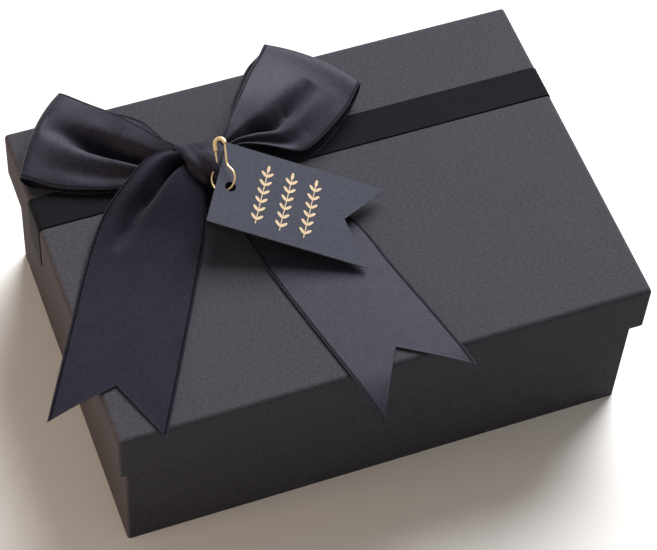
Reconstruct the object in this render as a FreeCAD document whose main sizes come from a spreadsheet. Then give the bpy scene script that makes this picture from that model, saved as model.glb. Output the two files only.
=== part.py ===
import FreeCAD, Part
import Sketcher
import math
import os

V = FreeCAD.Vector
doc = FreeCAD.newDocument("GiftBox")

# ---------------------------------------------------------------- driving sizes, millimetres and degrees
SIZES = [
    ("lid_length", 200.0, "outside of the lid along X"),
    ("lid_width", 140.0, "outside of the lid along Y"),
    ("box_height", 74.0, "floor to the top of the lid"),
    ("skirt_height", 22.5, "height of the lid's skirt"),
    ("board", 1.5, "grey board of the walls and the floor"),
    ("lid_board", 2.0, "grey board of the lid's top"),
    ("paper", 0.2, "wrapping paper and liners"),
    ("stay", 0.15, "corner stay paper, which is also the glue gap behind the wrap"),
    ("lid_clearance", 0.9, "air between the skirt and the tray, each side"),
    ("rest_gap", 0.2, "air between the lid's liner and the tray's rim"),
    ("corner_round", 1.2, "outer radius of the upright paper corners"),
    ("edge_round", 2.0, "outer radius of the lid's top edge"),
    ("tray_turn_in", 18.0, "wrap turned in over the tray's rim"),
    ("tray_turn_under", 12.0, "wrap turned under the tray's floor"),
    ("lid_turn_in", 12.0, "wrap turned in behind the skirt"),
    ("stay_leg", 12.0, "leg of a corner stay"),
    ("sheet_gap", 0.3, "gap round the bottom sheet"),
    ("band_width", 14.5, "narrow satin band"),
    ("band_thick", 0.3, "thickness of the narrow band"),
    ("band_place", 31.0, "band's middle, towards the back"),
    ("band_turn_in", 10.0, "band turned in behind the skirt"),
    ("tape_thick", 0.1, "tape over the band's ends"),
    ("tape_over", 3.0, "tape past each side of the band"),
    ("tape_past", 5.0, "tape above the band's end"),
    ("ribbon_width", 40.0, "wide satin ribbon"),
    ("ribbon_thick", 0.4, "thickness of the wide ribbon's solids"),
    ("knot_x", -36.6, "middle of the knot"),
    ("knot_y", 27.5, "middle of the knot"),
    ("knot_across", 17.2, "knot along the box"),
    ("knot_deep", 18.0, "knot across the box"),
    ("knot_tall", 17.2, "knot, before its underside is flattened"),
    ("knot_rise", 8.0, "knot's middle above the lid"),
    ("fold_deep", 5.0, "knot's fold, from the needle's middle into the knot"),
    ("fold_wide", 4.2, "the fold, along the needle"),
    ("fold_thick", 2.8, "the fold, round the needle"),
    ("loop_reach", 62.0, "knot's middle to a loop's end fold"),
    ("loop_rise", 18.0, "top of a loop above the lid"),
    ("left_loop_turn", 148.2, "heading of the left loop"),
    ("left_loop_skew", -6.3, "its end fold, off square"),
    ("right_loop_turn", 31.1, "heading of the right loop"),
    ("right_loop_skew", 15.0, "its end fold, off square"),
    ("left_tail_turn", 240.7, "heading of the left tail"),
    ("left_tail_side", -12.7, "its middle line, beside the knot's"),
    ("left_tail_reach", 110.5, "knot's middle to the tail's tips"),
    ("left_notch", 17.5, "depth of the swallowtail"),
    ("right_tail_turn", 285.1, "heading of the right tail"),
    ("right_tail_side", 15.0, "its middle line, beside the knot's"),
    ("right_tail_reach", 119.5, "knot's middle to the tail's tips"),
    ("right_notch", 21.0, "depth of the swallowtail"),
    ("tag_length", 60.0, "tag, hanging edge to tips"),
    ("tag_width", 34.0, "tag"),
    ("tag_notch", 12.2, "depth of the tag's swallowtail"),
    ("tag_thick", 0.5, "tag card"),
    ("tag_hole", 4.0, "diameter of the hanging hole"),
    ("tag_hole_in", 5.3, "hole's middle from the hanging edge"),
    ("tag_hole_off", -0.6, "hole's middle from the tag's middle line"),
    ("foil_thick", 0.05, "foil print"),
    ("sprig_length", 25.0, "each row of the foil print, across the tag"),
    ("sprig_first", 17.0, "first row from the hanging edge"),
    ("sprig_pitch", 9.0, "row to row"),
    ("wire", 0.7, "diameter of the pin's wire"),
    ("pin_length", 20.0, "bulb pin, end to end"),
    ("bulb_radius", 4.65, "round end of the pin"),
    ("pin_leg", 2.0, "each leg's middle from the pin's middle line"),
    ("neck_radius", 3.0, "bend between the bulb and a leg"),
    ("cap_wire", 1.5, "diameter of the pin's cap"),
    ("cap_leg", 4.2, "cap's leg over the needle's tip"),
    ("needle_play", 0.15, "radial play of the needle in the cap and the knot"),
    ("bulb_gap", 0.25, "gap between the two halves of the bulb"),
]

sheet = doc.addObject("Spreadsheet::Sheet", "Sizes")
for row, (alias, value, note) in enumerate(SIZES, start=1):
    sheet.set(f"A{row}", alias)
    sheet.set(f"B{row}", str(value))
    sheet.set(f"C{row}", note)
    sheet.setAlias(f"B{row}", alias)
doc.recompute()


def size(alias):
    """A driving size as a number, for the shapes that Part's own functions make."""
    return float(sheet.get(alias))


def bind(piece, prop, words):
    """Ties a property to the sheet; words name aliases, such as lid_length - 2 * paper."""
    out = []
    for word in words.replace("(", "( ").replace(")", " )").split():
        out.append(f"Sizes.{word}" if word[0].isalpha() else word)
    piece.setExpression(prop, " ".join(out))


# ---------------------------------------------------------------- measures that several pieces share
WALL = "( paper + stay + board )"
LID_RIM = "( box_height - skirt_height )"
TRAY_LENGTH = "( lid_length - 4 * paper - 2 * stay - 2 * board - 2 * lid_clearance )"
TRAY_WIDTH = "( lid_width - 4 * paper - 2 * stay - 2 * board - 2 * lid_clearance )"
TRAY_RIM = "( box_height - lid_board - 2 * paper - rest_gap )"


TOUCH = 1e-6           # two levels nearer than this are one level
PAST = 1.0             # how far a cutting tool runs past the face that it cuts


# ---------------------------------------------------------------- building blocks
def box(name, length, width, height, low_x=None, low_y=None, low_z="0"):
    """A block centred on the Z axis, unless low_x or low_y places its low side."""
    piece = doc.addObject("Part::Box", name)
    bind(piece, "Length", length)
    bind(piece, "Width", width)
    bind(piece, "Height", height)
    bind(piece, "Placement.Base.x", low_x or f"0 - {length} / 2")
    bind(piece, "Placement.Base.y", low_y or f"0 - {width} / 2")
    bind(piece, "Placement.Base.z", low_z)
    return piece


def plane(body, role):
    """One of the body's own origin planes."""
    return next(item for item in body.Origin.OriginFeatures if item.Role == role)


def rectangle(sketch, length, width):
    """A rectangle about the sketch's origin, with its two sizes bound to the sheet."""
    half = 10.0
    corners = [V(-half, -half, 0), V(half, -half, 0), V(half, half, 0), V(-half, half, 0)]
    for i in range(4):
        sketch.addGeometry(Part.LineSegment(corners[i], corners[(i + 1) % 4]), False)
    for i in range(4):
        sketch.addConstraint(Sketcher.Constraint("Coincident", i, 2, (i + 1) % 4, 1))
        sketch.addConstraint(Sketcher.Constraint("Horizontal" if i % 2 == 0 else "Vertical", i))
    sketch.addConstraint(Sketcher.Constraint("Symmetric", 0, 1, 2, 1, -1, 1))
    across = sketch.addConstraint(Sketcher.Constraint("DistanceX", 0, 1, 0, 2, 2 * half))
    deep = sketch.addConstraint(Sketcher.Constraint("DistanceY", 1, 1, 1, 2, 2 * half))
    bind(sketch, f"Constraints[{across}]", length)
    bind(sketch, f"Constraints[{deep}]", width)


def edges_where(shape, test):
    return [f"Edge{i}" for i, edge in enumerate(shape.Edges, start=1) if test(edge.BoundBox)]


def rounded_block(name, length, width, height, low_z, corner, top_round=None):
    """A block with rounded upright edges and, where top_round is given, a rounded top edge."""
    body = doc.addObject("PartDesign::Body", name)
    sketch = body.newObject("Sketcher::SketchObject", f"{name}_outline")
    sketch.AttachmentSupport = [(plane(body, "XY_Plane"), "")]
    sketch.MapMode = "FlatFace"
    rectangle(sketch, length, width)
    pad = body.newObject("PartDesign::Pad", f"{name}_pad")
    pad.Profile = sketch
    bind(pad, "Length", height)
    doc.recompute()
    upright = body.newObject("PartDesign::Fillet", f"{name}_corners")
    upright.Base = (pad, edges_where(pad.Shape, lambda b: b.XLength < TOUCH and b.YLength < TOUCH))
    bind(upright, "Radius", corner)
    doc.recompute()
    if top_round:
        high = upright.Shape.BoundBox.ZMax
        rim = body.newObject("PartDesign::Fillet", f"{name}_top_edge")
        rim.Base = (upright, edges_where(upright.Shape, lambda b: b.ZMin > high - TOUCH))
        bind(rim, "Radius", top_round)
        doc.recompute()
    bind(body, "Placement.Base.z", low_z)
    return body


def cut(name, base, *tools):
    """base with every tool taken away."""
    tool = tools[0] if len(tools) == 1 else fuse(f"{name}_space", *tools)
    piece = doc.addObject("Part::Cut", name)
    piece.Base = base
    piece.Tool = tool
    return piece


def fuse(name, *shapes):
    piece = doc.addObject("Part::MultiFuse", name)
    piece.Shapes = list(shapes)
    return piece


def common(name, first, second):
    piece = doc.addObject("Part::MultiCommon", name)
    piece.Shapes = [first, second]
    return piece


def feature(name, shape):
    piece = doc.addObject("Part::Feature", name)
    piece.Shape = shape
    return piece


NODES = {}


def node(piece, label):
    """Gives a finished sub-part the label that names its file."""
    piece.Label = label
    NODES[label] = piece
    return piece


# ---------------------------------------------------------------- what both trays are made of
def tray_walls(prefix, length, width, low_z, height):
    """Four wall boards: front and back run the full length, left and right stand between them."""
    out_length = f"( {length} - 2 * paper - 2 * stay )"
    out_width = f"( {width} - 2 * paper - 2 * stay )"
    between = f"( {out_width} - 2 * board )"
    form = rounded_block(
        f"{prefix}_wall_form", out_length, out_width, height, low_z, "corner_round - paper - stay"
    )
    for side, low_y in (("front", f"0 - {out_width} / 2"), ("back", f"{out_width} / 2 - board")):
        strip = box(f"{prefix}_{side}_strip", out_length, "board", height, low_y=low_y, low_z=low_z)
        node(common(f"{prefix}_{side}", form, strip), f"{prefix}_{side}_board")
    for side, low_x in (("left", f"0 - {out_length} / 2"), ("right", f"{out_length} / 2 - board")):
        wall = box(f"{prefix}_{side}", "board", between, height, low_x=low_x, low_z=low_z)
        node(wall, f"{prefix}_{side}_board")


def corner_stays(prefix, length, width, low_z, height):
    """Four folded paper stays, each round one upright corner of the boards."""
    outer = rounded_block(
        f"{prefix}_stay_outer", f"( {length} - 2 * paper )", f"( {width} - 2 * paper )",
        height, low_z, "corner_round - paper",
    )
    inner = rounded_block(
        f"{prefix}_stay_inner", f"( {length} - 2 * paper - 2 * stay )",
        f"( {width} - 2 * paper - 2 * stay )", height, low_z, "corner_round - paper - stay",
    )
    legs = []
    for x_side in (-1, 1):
        for y_side in (-1, 1):
            low_x = f"{x_side} * {length} / 2 - stay_leg / 2"
            low_y = f"{y_side} * {width} / 2 - stay_leg / 2"
            legs.append(
                box(f"{prefix}_stay_leg", "stay_leg", "stay_leg", height, low_x, low_y, low_z)
            )
    ring = cut(f"{prefix}_stay_ring", outer, inner)
    node(common(f"{prefix}_stays", ring, fuse(f"{prefix}_stay_legs", *legs)), f"{prefix}_corner_stays")


def paper_slot(prefix, length, width, low_z, height):
    """The space between a wrap's outer skin and its turned-in skin, where the boards stand."""
    outer = rounded_block(
        f"{prefix}_slot_outer", f"( {length} - 2 * paper )", f"( {width} - 2 * paper )",
        height, low_z, "corner_round - paper",
    )
    inner = box(
        f"{prefix}_slot_inner", f"( {length} - 2 * {WALL} )", f"( {width} - 2 * {WALL} )",
        height, low_z=low_z,
    )
    return cut(f"{prefix}_slot", outer, inner)


def paper_mouth(prefix, length, width, low_z, height):
    """The clear inside of a turned-in skin."""
    return box(
        f"{prefix}_mouth", f"( {length} - 2 * {WALL} - 2 * paper )",
        f"( {width} - 2 * {WALL} - 2 * paper )", height, low_z=low_z,
    )


# ---------------------------------------------------------------- tray
def make_tray():
    floor_z = "paper"
    wall_z = "( paper + board )"
    wall_height = f"( {TRAY_RIM} - 2 * paper - board )"
    clear_length = f"( {TRAY_LENGTH} - 2 * {WALL} )"
    clear_width = f"( {TRAY_WIDTH} - 2 * {WALL} )"
    node(
        rounded_block(
            "tray_floor", f"( {TRAY_LENGTH} - 2 * paper - 2 * stay )",
            f"( {TRAY_WIDTH} - 2 * paper - 2 * stay )", "board", floor_z,
            "corner_round - paper - stay",
        ),
        "base_floor_board",
    )
    tray_walls("base", TRAY_LENGTH, TRAY_WIDTH, wall_z, wall_height)
    corner_stays("base", TRAY_LENGTH, TRAY_WIDTH, wall_z, wall_height)

    skin = rounded_block("tray_skin", TRAY_LENGTH, TRAY_WIDTH, TRAY_RIM, "0", "corner_round")
    inside = rounded_block(
        "tray_inside", f"( {TRAY_LENGTH} - 2 * paper )", f"( {TRAY_WIDTH} - 2 * paper )",
        f"( {TRAY_RIM} - paper - tray_turn_in )", "paper", "corner_round - paper",
    )
    turn_z = f"( {TRAY_RIM} - tray_turn_in )"
    slot = paper_slot("tray", TRAY_LENGTH, TRAY_WIDTH, turn_z, "( tray_turn_in - paper )")
    mouth = paper_mouth("tray", TRAY_LENGTH, TRAY_WIDTH, turn_z, "( tray_turn_in + paper )")
    under = box(
        "tray_under", f"( {TRAY_LENGTH} - 2 * tray_turn_under )",
        f"( {TRAY_WIDTH} - 2 * tray_turn_under )", "( 3 * paper )", low_z="0 - paper",
    )
    node(cut("tray_wrap", skin, inside, slot, mouth, under), "base_side_wrap")
    node(
        box(
            "tray_bottom_sheet", f"( {TRAY_LENGTH} - 2 * tray_turn_under - 2 * sheet_gap )",
            f"( {TRAY_WIDTH} - 2 * tray_turn_under - 2 * sheet_gap )", "paper",
        ),
        "base_bottom_sheet",
    )
    node(box("tray_floor_liner", clear_length, clear_width, "paper", low_z=wall_z), "base_floor_liner")
    liner_z = "( 2 * paper + board )"
    liner_height = f"( {TRAY_RIM} - tray_turn_in - 2 * paper - board )"
    liner_outer = box("tray_liner_outer", clear_length, clear_width, liner_height, low_z=liner_z)
    liner_inner = box(
        "tray_liner_inner", f"( {clear_length} - 2 * paper )", f"( {clear_width} - 2 * paper )",
        liner_height, low_z=liner_z,
    )
    node(cut("tray_side_liner", liner_outer, liner_inner), "base_side_liner")


# ---------------------------------------------------------------- lid
def make_lid():
    board_z = f"( {LID_RIM} + paper )"
    board_height = "( skirt_height - 2 * paper - lid_board )"
    node(
        rounded_block(
            "lid_top", "( lid_length - 2 * paper - 2 * stay )", "( lid_width - 2 * paper - 2 * stay )",
            "lid_board", "( box_height - paper - lid_board )", "corner_round - paper - stay",
            "edge_round - paper - stay",
        ),
        "lid_top_board",
    )
    tray_walls("lid", "lid_length", "lid_width", board_z, board_height)
    corner_stays("lid", "lid_length", "lid_width", board_z, board_height)

    skin = rounded_block(
        "lid_skin", "lid_length", "lid_width", "skirt_height", LID_RIM, "corner_round", "edge_round"
    )
    turn_z = f"( {LID_RIM} + lid_turn_in )"
    inside = rounded_block(
        "lid_inside", "( lid_length - 2 * paper )", "( lid_width - 2 * paper )",
        "( skirt_height - paper - lid_turn_in )", turn_z, "corner_round - paper",
        "edge_round - paper",
    )
    slot = paper_slot("lid", "lid_length", "lid_width", board_z, "( lid_turn_in - paper )")
    mouth = paper_mouth("lid", "lid_length", "lid_width", f"( {LID_RIM} - paper )", "( lid_turn_in + paper )")
    node(cut("lid_wrap_sheet", skin, inside, slot, mouth), "lid_wrap")
    node(
        box(
            "lid_liner_sheet", f"( lid_length - 2 * {WALL} )", f"( lid_width - 2 * {WALL} )", "paper",
            low_z="( box_height - 2 * paper - lid_board )",
        ),
        "lid_liner",
    )


def make_band():
    """The narrow band: over the lid, down both ends and turned in behind the skirt."""
    low_y = "( band_place - band_width / 2 )"
    inner_face = f"( lid_length - 2 * {WALL} - 2 * paper )"

    def section(name, length, low_z, height, top_round, bottom_round=None):
        body = doc.addObject("PartDesign::Body", name)
        sketch = body.newObject("Sketcher::SketchObject", f"{name}_outline")
        sketch.AttachmentSupport = [(plane(body, "XY_Plane"), "")]
        sketch.MapMode = "FlatFace"
        rectangle(sketch, length, "band_width")
        tip = body.newObject("PartDesign::Pad", f"{name}_pad")
        tip.Profile = sketch
        bind(tip, "Length", height)
        doc.recompute()
        for end, radius in (("ZMax", top_round), ("ZMin", bottom_round)):
            if radius:
                level = getattr(tip.Shape.BoundBox, end)
                names = edges_where(
                    tip.Shape,
                    lambda b: b.XLength < TOUCH and b.ZLength < TOUCH and abs(b.ZMax - level) < TOUCH,
                )
                fillet = body.newObject("PartDesign::Fillet", f"{name}_{end}")
                fillet.Base = (tip, names)
                bind(fillet, "Radius", radius)
                doc.recompute()
                tip = fillet
        bind(body, "Placement.Base.z", low_z)
        bind(body, "Placement.Base.y", "band_place")
        return body

    outer = section(
        "band_outer", "( lid_length + 2 * band_thick )", f"( {LID_RIM} - band_thick )",
        "( skirt_height + 2 * band_thick )", "edge_round + band_thick", "band_thick",
    )
    lid = section("band_lid", "lid_length", LID_RIM, "skirt_height", "edge_round")
    turned = box(
        "band_turned", inner_face, "band_width", f"( band_turn_in + {PAST} )", low_y=low_y,
        low_z=f"( {LID_RIM} - {PAST} )",
    )
    clear = box(
        "band_clear", f"( {inner_face} - 2 * band_thick )", "band_width", f"( band_turn_in + {PAST} )",
        low_y=low_y, low_z=f"( {LID_RIM} - {PAST} )",
    )
    strip = cut("band_strip", outer, cut("band_lid_section", lid, turned))
    node(cut("band", strip, clear), "ribbon_band")

    tapes = []
    tape_z = f"( {LID_RIM} + band_turn_in / 2 )"
    tape_low = {
        "left": f"0 - {inner_face} / 2 + band_thick",
        "right": f"{inner_face} / 2 - band_thick - tape_thick",
    }
    for side, low_x in tape_low.items():
        tapes.append(
            box(
                f"tape_{side}", "tape_thick", "( band_width + 2 * tape_over )",
                "( band_turn_in / 2 + tape_past )", low_x=low_x, low_y=f"( {low_y} - tape_over )",
                low_z=tape_z,
            )
        )
    node(fuse("tapes", *tapes), "ribbon_band_tapes")


# ---------------------------------------------------------------- bow
def spline_edge(points):
    curve = Part.BSplineCurve()
    curve.interpolate([V(*p) for p in points])
    return curve


def strip_face(points, thick):
    """A face of even thickness along a smooth line of (x, z) points, in the XZ plane."""
    steps_to_a_point = 8
    middle = spline_edge([(x, 0, z) for x, z in points])
    steps = steps_to_a_point * len(points)
    first, last = middle.FirstParameter, middle.LastParameter
    sides = ([], [])
    for i in range(steps + 1):
        at = first + (last - first) * i / steps
        along = middle.tangent(at)[0]
        across = V(-along.z, 0, along.x) * (thick / 2)
        sides[0].append(middle.value(at) + across)
        sides[1].append(middle.value(at) - across)
    upper, lower = (spline_edge([tuple(p) for p in side]).toShape() for side in sides)
    ends = [
        Part.makeLine(sides[0][-1], sides[1][-1]),
        Part.makeLine(sides[1][0], sides[0][0]),
    ]
    return Part.Face(Part.Wire([upper, ends[0], lower, ends[1]]))


def prism(edges, low, high):
    """An upright prism on a closed plan outline."""
    outline = Part.Wire(Part.__sortEdges__(edges))
    outline.translate(V(0, 0, low))
    return Part.Face(outline).extrude(V(0, 0, high - low))


def polygon(points):
    closed = points + [points[0]]
    return [Part.makeLine(V(*a, 0), V(*b, 0)) for a, b in zip(closed, closed[1:])]


def bow_place(turn):
    """The knot's middle at the level of the lid's top, turned to a heading."""
    return FreeCAD.Placement(
        V(size("knot_x"), size("knot_y"), size("box_height")), FreeCAD.Rotation(V(0, 0, 1), turn)
    )


def knot_form(name):
    """A rounded knot, flat where it sits on the narrow band."""
    ball = doc.addObject("Part::Ellipsoid", f"{name}_ball")
    bind(ball, "Radius1", "knot_tall / 2")
    bind(ball, "Radius2", "knot_across / 2")
    bind(ball, "Radius3", "knot_deep / 2")
    bind(ball, "Placement.Base.x", "knot_x")
    bind(ball, "Placement.Base.y", "knot_y")
    bind(ball, "Placement.Base.z", "box_height + knot_rise")
    under = box(
        f"{name}_under", "( 2 * knot_across )", "( 2 * knot_deep )", "knot_tall",
        low_x="( knot_x - knot_across )", low_y="( knot_y - knot_deep )",
        low_z="( box_height + band_thick - knot_tall )",
    )
    return cut(name, ball, under)


def needle_fold(name):
    """The fold of the knot that holds the pin's needle: a slab rounded about the needle."""
    start = V(-size("pin_leg"), 10.3, 0)
    slant = -38.7
    deep, wide, thick = size("fold_deep"), size("fold_wide"), size("fold_thick")
    slab = Part.makeBox(deep, wide, thick, V(-deep, 0, -thick / 2))
    rounded = Part.makeCylinder(thick / 2, wide, V(0, 0, 0), V(0, 1, 0))
    fold = feature(name, slab.fuse(rounded).removeSplitter())
    fold.Placement = pin_place() * FreeCAD.Placement(start, FreeCAD.Rotation(V(0, 1, 0), slant))
    return fold


def loop_shape(skew):
    """One loop: a hollow teardrop in profile, wedge-shaped in plan, widest at its end fold.

    The profile's points are shares of the reach and the rise, the plan's of the reach and half
    the ribbon's width.
    """
    over_width = 1.4
    reach, rise = size("loop_reach"), size("loop_rise")
    half = size("ribbon_width") / 2
    profile = [
        (0.08 * reach, 0.55 * rise), (0.22 * reach, 0.82 * rise), (0.45 * reach, rise),
        (0.70 * reach, 0.88 * rise), (0.90 * reach, 0.56 * rise), (1.00 * reach, 0.36 * rise),
        (0.97 * reach, 0.17 * rise), (0.80 * reach, 0.08 * rise), (0.50 * reach, 0.06 * rise),
        (0.25 * reach, 0.13 * rise), (0.10 * reach, 0.26 * rise),
    ]
    lean = math.tan(math.radians(skew))
    sweep = V(2 * half * over_width * lean, 2 * half * over_width, 0)
    face = strip_face(profile, size("ribbon_thick"))
    face.translate(sweep * -0.5)
    band = face.extrude(sweep)
    sides = [(0.05, 0.2 * half), (0.25, 0.35 * half), (0.45, 0.7 * half), (0.7, 0.97 * half)]
    sides.append((1.1, half))
    plan = [(u * reach + v * lean, v) for u, v in sides]
    plan += [(u * reach - v * lean, -v) for u, v in reversed(sides)]
    return band.common(prism(polygon(plan), -PAST, rise + 5 * PAST))


def tail_shape(profile, side, reach, notch, outer, inner, lean=0.0):
    """One tail: a strip that comes down from the knot and lies flat, with a swallowtail end.

    outer and inner are the plan points of its two sides near the knot, from the knot outwards.
    lean slants the line along which the tail bends, as a slope from square.
    """
    lowest, highest = -20, 40
    half = size("ribbon_width") / 2
    sweep = V(4 * half * lean, 4 * half, 0)
    face = strip_face(profile, size("ribbon_thick"))
    face.translate(V(0, side, 0) - sweep * 0.5)
    strip = face.extrude(sweep)
    first = spline_edge([(x, y, 0) for x, y in outer]).toShape()
    second = spline_edge([(x, y, 0) for x, y in inner]).toShape()
    end = [(outer[-1][0], outer[-1][1]), (reach, outer[-1][1]), (reach - notch, side)]
    end += [(reach, inner[-1][1]), (inner[-1][0], inner[-1][1])]
    lines = [Part.makeLine(V(*a, 0), V(*b, 0)) for a, b in zip(end, end[1:])]
    lines.append(Part.makeLine(V(*outer[0], 0), V(*inner[0], 0)))
    return strip.common(prism([first, second] + lines, lowest, highest))


def make_bow():
    knot = fuse("knot_tied", knot_form("knot"), needle_fold("knot_fold"))
    channel = feature("needle_channel", needle_rod(size("wire") / 2 + size("needle_play")))
    channel.Placement = pin_place()
    node(cut("knot_bored", knot, channel), "bow_knot")
    clear_knot = fuse("knot_copy_tied", knot_form("knot_copy"), needle_fold("knot_copy_fold"))

    for side in ("left", "right"):
        loop = feature(f"{side}_loop_strip", loop_shape(size(f"{side}_loop_skew")))
        loop.Placement = bow_place(size(f"{side}_loop_turn"))
        node(cut(f"{side}_loop", loop, clear_knot), f"bow_{side}_loop")

    half = size("ribbon_width") / 2
    middle = size("left_tail_side")
    left = tail_shape(
        [(0, 9), (9, 13), (20, 11.5), (34, 6), (50, 2.2), (70, 0.8), (90, 0.6), (116, 0.6)],
        middle, size("left_tail_reach"), size("left_notch"),
        [(3, -4), (9, -13), (19, -24.5), (31, -30.5), (48, middle - half)],
        [(3, 2), (12, 4), (30, 5.8), (48, middle + half)],
    )
    middle = size("right_tail_side")
    heading = math.radians(size("right_tail_turn") - 270)
    edge = (size("lid_width") / 2 + size("knot_y") + middle * math.sin(heading)) / math.cos(heading)
    right = tail_shape(
        [(0, 8.5), (9, 7), (20, 4), (36, 1.4), (55, 0.7), (80, 0.6), (edge, 0.5),
         (edge + 7, -0.4), (edge + 20, -4.5)],
        middle, size("right_tail_reach"), size("right_notch"),
        [(3, -3), (15, -4), (31, -4.6), (60, middle - half)],
        [(3, 3), (9, 8), (19, 18), (32, 29), (50, middle + half)],
        lean=math.tan(heading),
    )
    for side, shape in (("left", left), ("right", right)):
        strip = feature(f"{side}_tail_strip", shape)
        strip.Placement = bow_place(size(f"{side}_tail_turn"))
        node(cut(f"{side}_tail", strip, clear_knot), f"bow_{side}_tail")


# ---------------------------------------------------------------- bulb pin
def pin_place():
    """The pin's frame: X across the pin, Y up its length, Z out of its face."""
    across = V(0.783, -0.402, 0.472)
    along = V(0.19, 0.88, 0.435)
    from_knot = V(2.0, -17.1, 13.3)
    foot = V(size("knot_x"), size("knot_y"), size("box_height")) + from_knot
    return FreeCAD.Placement(foot, FreeCAD.Rotation(across, along, V(), "XYZ"))


def pin_wire_path(side):
    """Half of the bulb, the neck bend and the leg; side is 1 for the arm and -1 for the needle."""
    bulb, neck, leg = size("bulb_radius"), size("neck_radius"), size("pin_leg")
    neck_y = bulb + math.sqrt((bulb + neck) ** 2 - (leg + neck) ** 2)
    lean = math.atan2(neck_y - bulb, leg + neck)
    open_angle = size("bulb_gap") / (2 * bulb)

    def on_bulb(angle):
        return V(side * bulb * math.cos(angle), bulb + bulb * math.sin(angle), 0)

    def on_neck(angle):
        return V(side * (leg + neck - neck * math.cos(angle)), neck_y - neck * math.sin(angle), 0)

    start = -math.pi / 2 + open_angle
    arcs = [
        Part.Arc(on_bulb(start), on_bulb((start + lean) / 2), on_bulb(lean)).toShape(),
        Part.Arc(on_neck(lean), on_neck(lean / 2), on_neck(0)).toShape(),
    ]
    return arcs, V(side * leg, neck_y, 0)


def pipe(edges, radius):
    """A round bar along joined edges, which start at the first edge's start."""
    path = Part.Wire(edges)
    start = edges[0].valueAt(edges[0].FirstParameter)
    along = edges[0].tangentAt(edges[0].FirstParameter)
    ring = Part.Wire(Part.makeCircle(radius, start, along))
    return path.makePipeShell([ring], True, False)


def needle_rod(radius):
    """The straight stretch that the needle takes through the knot."""
    _, neck = pin_wire_path(-1)
    low = V(neck.x, neck.y - size("neck_radius"), 0)
    return Part.makeCylinder(radius, size("pin_length") - low.y, low, V(0, 1, 0))


def make_pin():
    radius, leg = size("wire") / 2, size("pin_leg")
    top = size("pin_length") - size("cap_wire") / 2 - leg
    cap_low = top - size("cap_leg") + leg
    point, blunt, end_play = 2.0, radius / 6, 0.3

    arm_edges, arm_neck = pin_wire_path(1)
    arm_edges.append(Part.makeLine(arm_neck, V(leg, top, 0)))
    arm = feature("arm", pipe(arm_edges, radius))

    needle_edges, needle_neck = pin_wire_path(-1)
    shank = V(-leg, top - point, 0)
    needle_edges.append(Part.makeLine(needle_neck, shank))
    tip = Part.makeCone(radius, blunt, point, shank, V(0, 1, 0))
    needle = feature("needle", pipe(needle_edges, radius).fuse(tip).removeSplitter())

    over = Part.Arc(V(-leg, top, 0), V(0, top + leg, 0), V(leg, top, 0)).toShape()
    cap_shape = pipe([Part.makeLine(V(-leg, cap_low, 0), V(-leg, top, 0)), over], size("cap_wire") / 2)
    bore = Part.makeCylinder(
        radius + size("needle_play"), top - cap_low + end_play, V(-leg, cap_low, 0), V(0, 1, 0)
    )
    slot_width = 2 * (radius + size("needle_play"))
    slot = Part.makeBox(
        slot_width, top - cap_low + end_play, size("cap_wire"),
        V(-leg - slot_width / 2, cap_low, -size("cap_wire")),
    )
    cap = feature("cap", cap_shape.cut(bore.fuse(slot)))

    for piece, label in ((arm, "pin_arm"), (needle, "pin_needle"), (cap, "pin_head_cap")):
        piece.Placement = pin_place()
        node(piece, label)


# ---------------------------------------------------------------- tag
def tag_place():
    """The tag's frame: origin at the middle of the hanging edge, X down the tag, Z its printed face."""
    down = V(0.844, -0.497, -0.198)
    across = V(0.516, 0.855, 0.062)
    from_knot = V(0.1, -13.75, 15.5)
    start = V(size("knot_x"), size("knot_y"), size("box_height")) + from_knot
    return FreeCAD.Placement(start, FreeCAD.Rotation(down, across, V(), "XYZ"))


def make_tag():
    body = doc.addObject("PartDesign::Body", "tag")
    sketch = body.newObject("Sketcher::SketchObject", "tag_outline")
    sketch.AttachmentSupport = [(plane(body, "XY_Plane"), "")]
    sketch.MapMode = "FlatFace"
    corners = [V(0, -10, 0), V(40, -10, 0), V(30, 0, 0), V(40, 10, 0), V(0, 10, 0)]
    count = len(corners)
    for i in range(count):
        sketch.addGeometry(Part.LineSegment(corners[i], corners[(i + 1) % count]), False)
    for i in range(count):
        sketch.addConstraint(Sketcher.Constraint("Coincident", i, 2, (i + 1) % count, 1))
    sketch.addConstraint(Sketcher.Constraint("Horizontal", 0))
    sketch.addConstraint(Sketcher.Constraint("Horizontal", 3))
    sketch.addConstraint(Sketcher.Constraint("Vertical", 4))
    sketch.addConstraint(Sketcher.Constraint("Symmetric", 0, 1, 3, 2, -1, 1))
    sketch.addConstraint(Sketcher.Constraint("Vertical", 0, 2, 3, 1))
    sketch.addConstraint(Sketcher.Constraint("PointOnObject", 1, 2, -1))
    wide = sketch.addConstraint(Sketcher.Constraint("DistanceY", 0, 1, 3, 2, 20))
    far = sketch.addConstraint(Sketcher.Constraint("DistanceX", 0, 1, 0, 2, 40))
    notch = sketch.addConstraint(Sketcher.Constraint("DistanceX", 1, 2, 0, 2, 10))
    sketch.addGeometry(Part.Circle(V(5, 1, 0), V(0, 0, 1), 2), False)
    hole = sketch.addConstraint(Sketcher.Constraint("Diameter", count, 4))
    hole_x = sketch.addConstraint(Sketcher.Constraint("DistanceX", -1, 1, count, 3, 5))
    hole_y = sketch.addConstraint(Sketcher.Constraint("DistanceY", -1, 1, count, 3, 1))
    for number, alias in (
        (wide, "tag_width"), (far, "tag_length"), (notch, "tag_notch"), (hole, "tag_hole"),
        (hole_x, "tag_hole_in"), (hole_y, "tag_hole_off"),
    ):
        bind(sketch, f"Constraints[{number}]", alias)
    pad = body.newObject("PartDesign::Pad", "tag_pad")
    pad.Profile = sketch
    bind(pad, "Length", "tag_thick")
    body.Placement = tag_place()
    node(body, "tag_card")


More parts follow.
